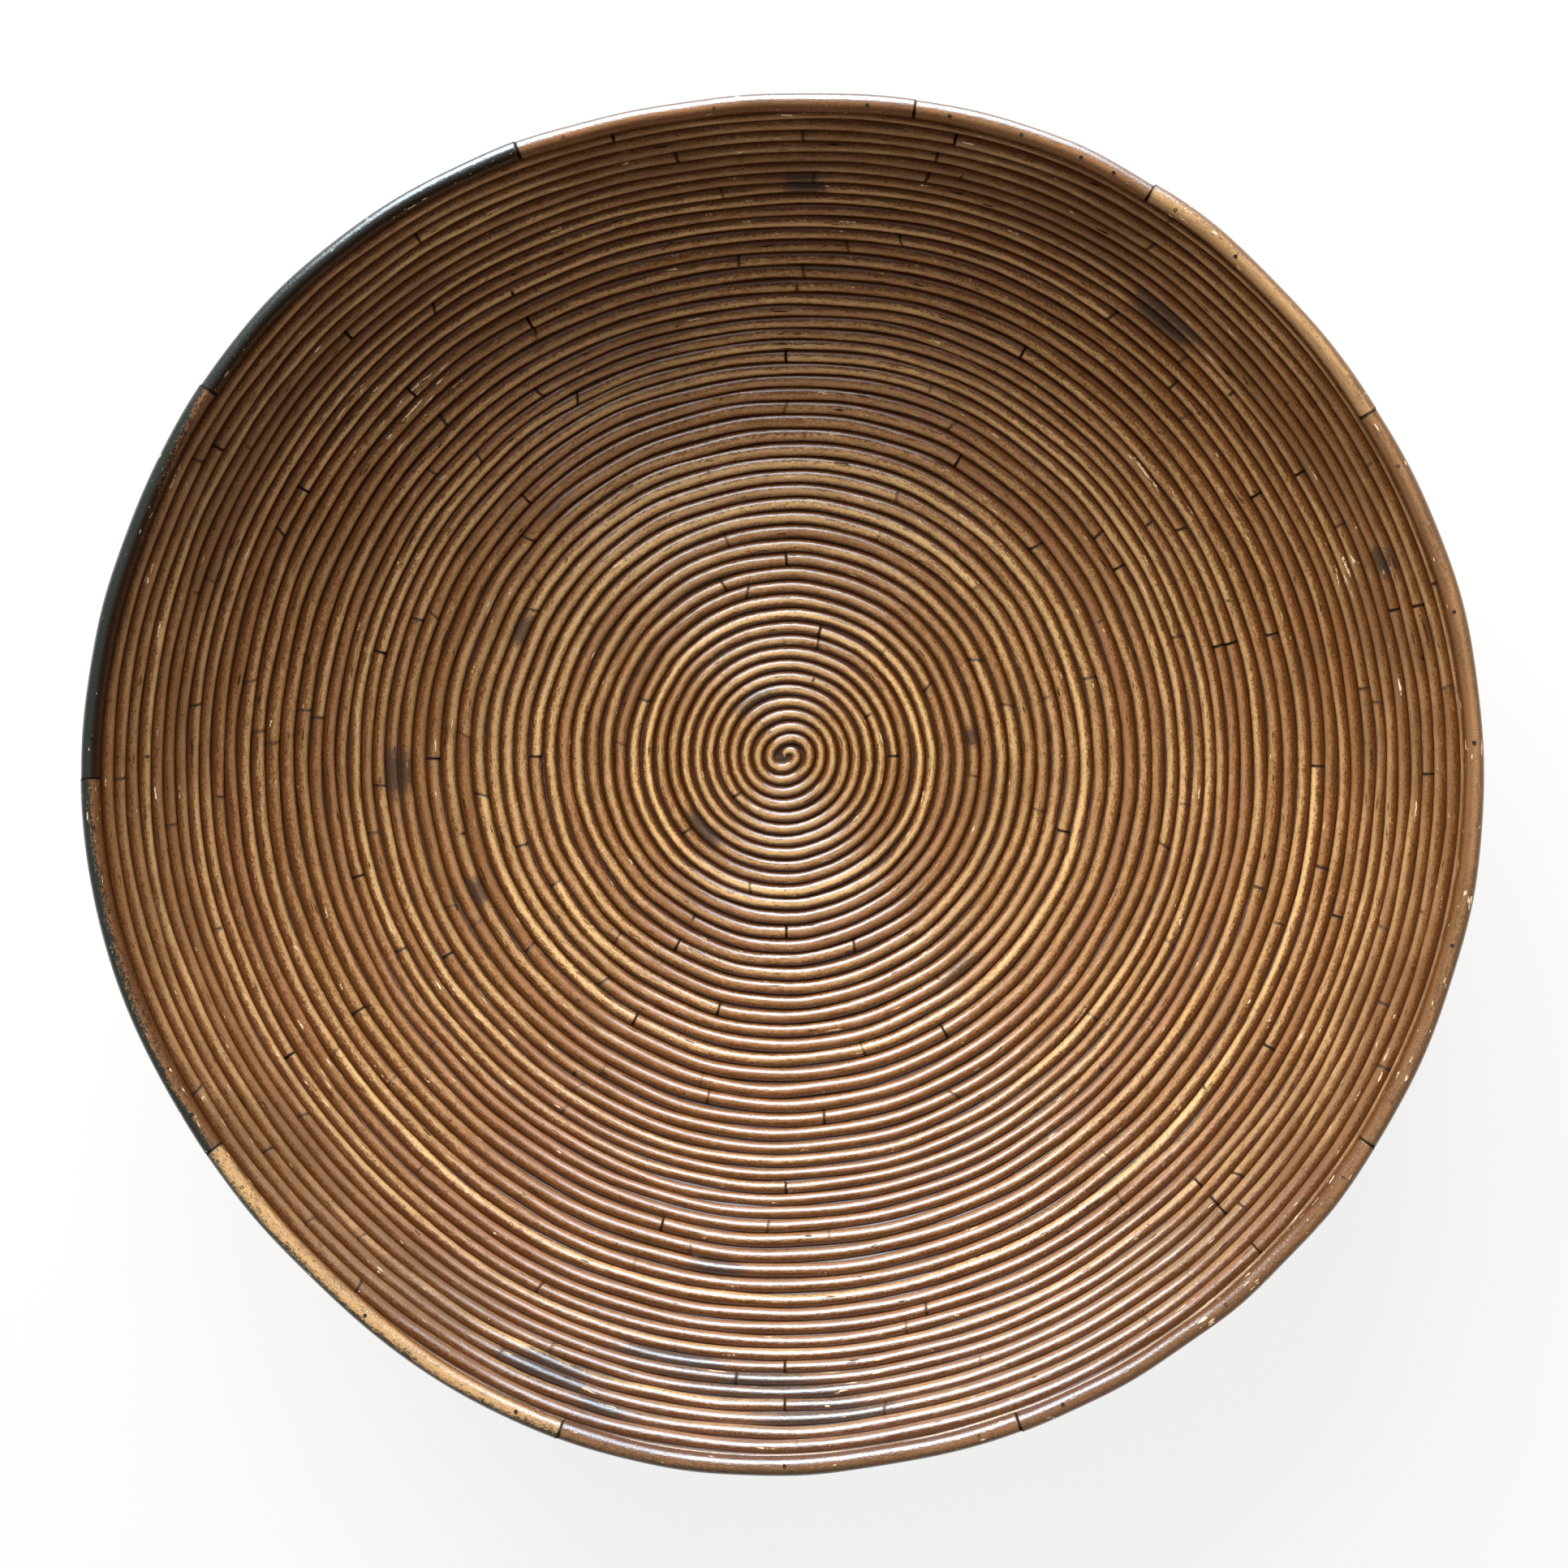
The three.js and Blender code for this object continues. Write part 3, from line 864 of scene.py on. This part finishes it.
def unroll(mesh, rows, sides, along, row, side, crown, girth):
    """Lays the reed's skin flat in folded rows, so that its colours can be baked without stretching."""
    length = along[-1]
    folds = max(1, round(math.sqrt(length / (girth * FOLD_HEIGHT))))
    fold_of = np.minimum((along[:-1] + along[1:]) / 2 / length * folds, folds - 1e-6).astype(int)
    spans = [(along[:-1][fold_of == fold].min(), along[1:][fold_of == fold].max()) for fold in range(folds)]
    begin, finish = np.array(spans).T
    widest = float((finish - begin).max())
    pitch = 1.0 / (folds + END_ROW)

    loops = np.empty(len(mesh.loops), int)
    mesh.loops.foreach_get("vertex_index", loops)
    totals = np.empty(len(mesh.polygons), int)
    mesh.polygons.foreach_get("loop_total", totals)
    face = np.repeat(np.arange(len(totals)), totals)
    station = row[loops]
    place = (loops - 2 * sides) % sides

    # A face belongs to the fold of its first row, and one that closes the round ends at the last place
    low = np.full(len(totals), rows)
    least = np.full(len(totals), sides)
    most = np.zeros(len(totals), int)
    np.minimum.at(low, face, station)
    np.minimum.at(least, face, place)
    np.maximum.at(most, face, place)
    wraps = (least == 0) & (most == sides - 1)
    turned = np.where(wraps[face] & (place == 0), sides, place)
    fold = fold_of[np.minimum(low[face], rows - 2)]
    spot = np.zeros((len(loops), 2))
    spot[:, 0] = FLAT_EDGE + (1 - 2 * FLAT_EDGE) * (along[station] - begin[fold]) / widest
    spot[:, 1] = (fold + FOLD_EDGE + FOLD_SKIN * turned / sides) * pitch

    # The two end faces lie beside each other in a last row
    cap = loops < 2 * sides
    size = END_SIZE * pitch
    first, second = END_PLACES
    spot[cap, 0] = np.where(station[cap] == rows - 1, second, first) + size * side[loops[cap]]
    spot[cap, 1] = (folds + END_ROW / 2) * pitch + size * crown[loops[cap]]
    for old in list(mesh.uv_layers):
        mesh.uv_layers.remove(old)
    skin_map = mesh.uv_layers.new(name="OFBake")
    skin_map.data.foreach_set("uv", np.clip(spot, 0, 1).ravel())


def close_seams(threshold):
    """Merges the doubled points of the active piece and turns its faces outwards."""
    bpy.ops.object.mode_set(mode="EDIT")
    bpy.ops.mesh.select_all(action="SELECT")
    bpy.ops.mesh.remove_doubles(threshold=threshold)
    bpy.ops.mesh.normals_make_consistent(inside=False)
    bpy.ops.mesh.select_all(action="DESELECT")
    bpy.ops.object.mode_set(mode="OBJECT")


def flatten_sole(mesh):
    """Rubs flat what would reach below the table."""
    below = points_of(mesh)[:, 2] < 0
    if not below.any():
        return
    mesh.vertices.foreach_set("select", below)
    bpy.ops.object.mode_set(mode="EDIT")
    bpy.ops.transform.resize(value=(1, 1, 0), center_override=(0, 0, 0), orient_type="GLOBAL")
    bpy.ops.mesh.select_all(action="DESELECT")
    bpy.ops.object.mode_set(mode="OBJECT")


def attach(piece, node, material):
    """Gives a piece its material, fixes it to the bowl and lets it stand for its solid."""
    piece.data.materials.clear()
    piece.data.materials.append(material)
    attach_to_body(piece, "root")
    if node:
        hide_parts(node)


def select_faces(piece, chosen):
    """Selects the faces of a piece that a test chooses, and leaves it in edit mode."""
    bpy.ops.object.mode_set(mode="EDIT")
    bpy.ops.mesh.select_all(action="DESELECT")
    bpy.ops.object.mode_set(mode="OBJECT")
    for face in piece.data.polygons:
        face.select = chosen(face)
    bpy.ops.object.mode_set(mode="EDIT")


class REEDBOWL_OT_wind_coil(bpy.types.Operator):
    """Wind the lengths of the coil from the middle of the floor to the rim"""

    bl_idname = "reedbowl.wind_coil"
    bl_label = "Wind Coil"
    bl_options = {"REGISTER", "UNDO"}

    def execute(self, context):
        sizes = context.scene.reed_bowl_sizes
        form = BowlForm(sizes)
        varnish = coil_varnish(context.scene.reed_bowl_finish)
        joints = form.coil_joints()
        for index, (start, end) in enumerate(zip(joints, joints[1:])):
            dice = np.random.default_rng(sizes.seed * 1000 + index)
            name = f"coil_length_{index + 1:02d}"
            reed = lay_reed(
                name, form.coil, start, end, dice,
                sides=COIL_SIDES, spacing=COIL_CUT_SPACING, dirt=COIL_SIDE_SHADE,
                offset=GRAIN_STEP * index, shade_of=lambda tone: tone,
            )
            attach(reed, f"coil_reed_{index + 1:02d}", varnish)
        return {"FINISHED"}


class REEDBOWL_OT_spread_glue(bpy.types.Operator):
    """Spread the thin sheet of glue and varnish that closes the grooves"""

    bl_idname = "reedbowl.spread_glue"
    bl_label = "Spread Glue"
    bl_options = {"REGISTER", "UNDO"}

    def execute(self, context):
        form = BowlForm(context.scene.reed_bowl_sizes)
        bpy.ops.mesh.primitive_grid_add(x_subdivisions=64, y_subdivisions=180, size=1)
        glue = context.object
        glue.name = glue.data.name = "groove_glue"
        share = points_of(glue.data)[:, :2] + 0.5
        laid = form.place(share[:, 0] * form.rim_distance, share[:, 1] * 2 * math.pi)[0]
        glue.data.vertices.foreach_set("co", laid.ravel())
        close_seams(GLUE_MERGE)
        sheet = glue.modifiers.new("thickness", "SOLIDIFY")
        sheet.thickness = GLUE_THICKNESS
        sheet.offset = 0
        bpy.ops.object.modifier_apply(modifier=sheet.name)
        bpy.ops.object.shade_smooth_by_angle(angle=math.radians(40))
        attach(glue, None, groove_glue(context.scene.reed_bowl_finish))
        return {"FINISHED"}


class REEDBOWL_OT_lay_rim(bpy.types.Operator):
    """Lay the level rim in short lengths on top of the coil"""

    bl_idname = "reedbowl.lay_rim"
    bl_label = "Lay Rim"
    bl_options = {"REGISTER", "UNDO"}

    def execute(self, context):
        sizes = context.scene.reed_bowl_sizes
        form = BowlForm(sizes)
        varnish = rim_varnish(context.scene.reed_bowl_finish)
        joints = [math.radians(degrees) for degrees in (*RIM_JOINTS, RIM_JOINTS[0] + 360)]
        for index, (start, end) in enumerate(zip(joints, joints[1:])):
            own, first, last = RIM_SHADES[index]
            dice = np.random.default_rng(sizes.seed * 2000 + index)
            name = f"rim_length_{index + 1:02d}"
            reed = lay_reed(
                name, form.rim, start, end, dice,
                sides=RIM_SIDES, spacing=RIM_CUT_SPACING, dirt=0.0,
                offset=RIM_GRAIN_START + GRAIN_STEP * index,
                shade_of=lambda tone: np.column_stack(
                    [
                        RIM_OWN_TONE * own + (1 - RIM_OWN_TONE) * tone[:, 0],
                        np.linspace(first, last, len(tone)),
                    ]
                ),
            )
            attach(reed, f"rim_reed_{index + 1:02d}", varnish)
        return {"FINISHED"}


class REEDBOWL_OT_set_brads(bpy.types.Operator):
    """Set the brads that hold the rim"""

    bl_idname = "reedbowl.set_brads"
    bl_label = "Set Brads"
    bl_options = {"REGISTER", "UNDO"}

    def execute(self, context):
        sizes = context.scene.reed_bowl_sizes
        form = BowlForm(sizes)
        head = sizes.brad_diameter / 2
        brad = self.one_brad(head)
        angles = np.radians(np.array(BRAD_ANGLES, float))
        centre, _, _, half = form.rim(angles)
        into, up = BRAD_LEAN
        heads = []
        for point, angle, reach in zip(centre, angles, half):
            lean = Vector((-into * math.cos(angle), -into * math.sin(angle), up)).normalized()
            bpy.ops.object.select_all(action="DESELECT")
            brad.select_set(True)
            context.view_layer.objects.active = brad
            bpy.ops.object.duplicate(linked=False)
            copy = context.object
            turn = lean.to_track_quat("Z", "Y").to_matrix().to_4x4()
            top = Vector(point) + lean * (reach - head * BRAD_SUNK)
            copy.matrix_world = Matrix.Translation(top) @ turn
            bpy.ops.object.transform_apply(location=True, rotation=True, scale=True)
            heads.append(copy)
        bpy.data.objects.remove(brad)
        bpy.ops.object.select_all(action="DESELECT")
        for copy in heads:
            copy.select_set(True)
        context.view_layer.objects.active = heads[0]
        bpy.ops.object.join()
        brads = context.object
        brads.name = brads.data.name = "rim_brads"
        bpy.ops.object.shade_smooth_by_angle(angle=math.radians(35))
        attach(brads, None, brad_iron(context.scene.reed_bowl_finish))
        return {"FINISHED"}

    def one_brad(self, head):
        """A brad's head with a raised edge and a dished middle."""
        bpy.ops.mesh.primitive_cylinder_add(vertices=12, radius=head, depth=head * 1.4)
        brad = bpy.context.object
        select_faces(brad, lambda face: face.normal.z > 0.9)
        bpy.ops.mesh.inset(thickness=head * 0.28, depth=head * 0.16)
        bpy.ops.mesh.inset(thickness=head * 0.34, depth=-head * 0.22)
        bpy.ops.mesh.select_all(action="DESELECT")
        bpy.ops.object.mode_set(mode="OBJECT")
        return brad


class REEDBOWL_OT_set_stage(bpy.types.Operator):
    """Set the floor, the light and the camera"""

    bl_idname = "reedbowl.set_stage"
    bl_label = "Set Stage"
    bl_options = {"REGISTER", "UNDO"}

    def execute(self, context):
        scene = context.scene
        scene.view_settings.view_transform = "Standard"
        bpy.ops.mesh.primitive_circle_add(vertices=96, radius=9.0, fill_type="NGON")
        floor = context.object
        floor.name = floor.data.name = "floor"
        floor.data.materials.append(pale_floor(scene.reed_bowl_finish))
        self.lamp("key_lamp", *KEY_LAMP)
        self.lamp("window_gloss", *WINDOW_GLOSS).visible_diffuse = False
        self.lamp("upper_gloss", *UPPER_GLOSS).visible_diffuse = False
        self.lamp("left_strip", *LEFT_STRIP).visible_glossy = False
        self.lamp("right_strip", *RIGHT_STRIP).visible_glossy = False
        self.dark_cards()
        self.sky(scene)
        self.camera(scene)
        return {"FINISHED"}

    def lamp(self, name, direction, distance, size, power, colour):
        """A soft rectangular lamp that faces the bowl."""
        direction = Vector(direction).normalized()
        bpy.ops.object.light_add(type="AREA", location=direction * distance)
        lamp = bpy.context.object
        lamp.name = lamp.data.name = name
        lamp.data.shape = "RECTANGLE"
        lamp.data.size, lamp.data.size_y = size
        lamp.data.energy = power
        lamp.data.color = colour
        lamp.rotation_mode = "QUATERNION"
        lamp.rotation_quaternion = direction.to_track_quat("Z", "Y")
        lamp.visible_camera = False
        return lamp

    def dark_cards(self):
        """A dome of dark cards over the set, that only the varnish mirrors."""
        bpy.ops.mesh.primitive_uv_sphere_add(segments=48, ring_count=24, radius=4.0)
        cards = bpy.context.object
        cards.name = cards.data.name = "dark_cards"
        select_faces(cards, lambda face: face.center.normalized().z < -0.02)
        bpy.ops.mesh.delete(type="FACE")
        bpy.ops.object.mode_set(mode="OBJECT")
        material, tree = new_material("dark_card")
        inputs = {
            "Base Color": (0.0, 0.0, 0.0),
            "Specular IOR Level": 0.0,
            "Roughness": 1.0,
            "Emission Color": (1.0, 0.93, 0.86),
            "Emission Strength": 0.03,
        }
        close_material(tree, inputs)
        cards.data.materials.append(material)
        cards.visible_camera = False
        cards.visible_diffuse = False
        cards.visible_shadow = False
        cards.visible_transmission = False

    def sky(self, scene):
        """White to the camera, and soft even light on the bowl."""
        world = bpy.data.worlds.new("soft_room")
        scene.world = world
        world.use_nodes = True
        tree = world.node_tree
        tree.nodes.clear()
        room = Wire.add(tree, "ShaderNodeBackground", None, {"Color": (1.0, 0.97, 0.94), "Strength": 0.46})
        white = Wire.add(tree, "ShaderNodeBackground", None, {"Color": WHITE, "Strength": 1.0})
        both = Wire.add(tree, "ShaderNodeMixShader", None, {0: seen_directly(tree), 1: room, 2: white})
        Wire.add(tree, "ShaderNodeOutputWorld", None, {0: both})

    def camera(self, scene):
        """Straight above the bowl, a little towards its far side."""
        bpy.ops.object.camera_add(location=(0.005, 0.057, 0.795), rotation=(0, 0, 0))
        camera = bpy.context.object
        camera.name = camera.data.name = "camera"
        camera.data.sensor_width = 36.0
        camera.data.lens = 42.76
        camera.data.shift_x = -0.009
        camera.data.shift_y = -0.1033
        camera.data.clip_start = 0.01
        camera.data.clip_end = 100
        scene.camera = camera


OPERATORS = (
    REEDBOWL_OT_wind_coil,
    REEDBOWL_OT_spread_glue,
    REEDBOWL_OT_lay_rim,
    REEDBOWL_OT_set_brads,
    REEDBOWL_OT_set_stage,
)


class REEDBOWL_PT_panel(bpy.types.Panel):
    """Sizes, colours and steps of the bowl"""

    bl_idname = "REEDBOWL_PT_panel"
    bl_label = "Reed Bowl"
    bl_space_type = "VIEW_3D"
    bl_region_type = "UI"
    bl_category = "Reed Bowl"

    def draw(self, context):
        layout = self.layout
        for operator in OPERATORS:
            layout.operator(operator.bl_idname)
        for group in (context.scene.reed_bowl_sizes, context.scene.reed_bowl_finish):
            column = layout.column()
            for name in group.__annotations__:
                column.prop(group, name)


CLASSES = (ReedBowlSizes, ReedBowlFinish, *OPERATORS, REEDBOWL_PT_panel)


def register():
    for cls in CLASSES:
        bpy.utils.register_class(cls)
    bpy.types.Scene.reed_bowl_sizes = PointerProperty(type=ReedBowlSizes)
    bpy.types.Scene.reed_bowl_finish = PointerProperty(type=ReedBowlFinish)


def unregister():
    del bpy.types.Scene.reed_bowl_finish
    del bpy.types.Scene.reed_bowl_sizes
    for cls in reversed(CLASSES):
        bpy.utils.unregister_class(cls)


def main():
    register()
    bpy.ops.reedbowl.wind_coil()
    bpy.ops.reedbowl.spread_glue()
    bpy.ops.reedbowl.lay_rim()
    bpy.ops.reedbowl.set_brads()
    bpy.ops.reedbowl.set_stage()


if __name__ == "__main__":
    main()
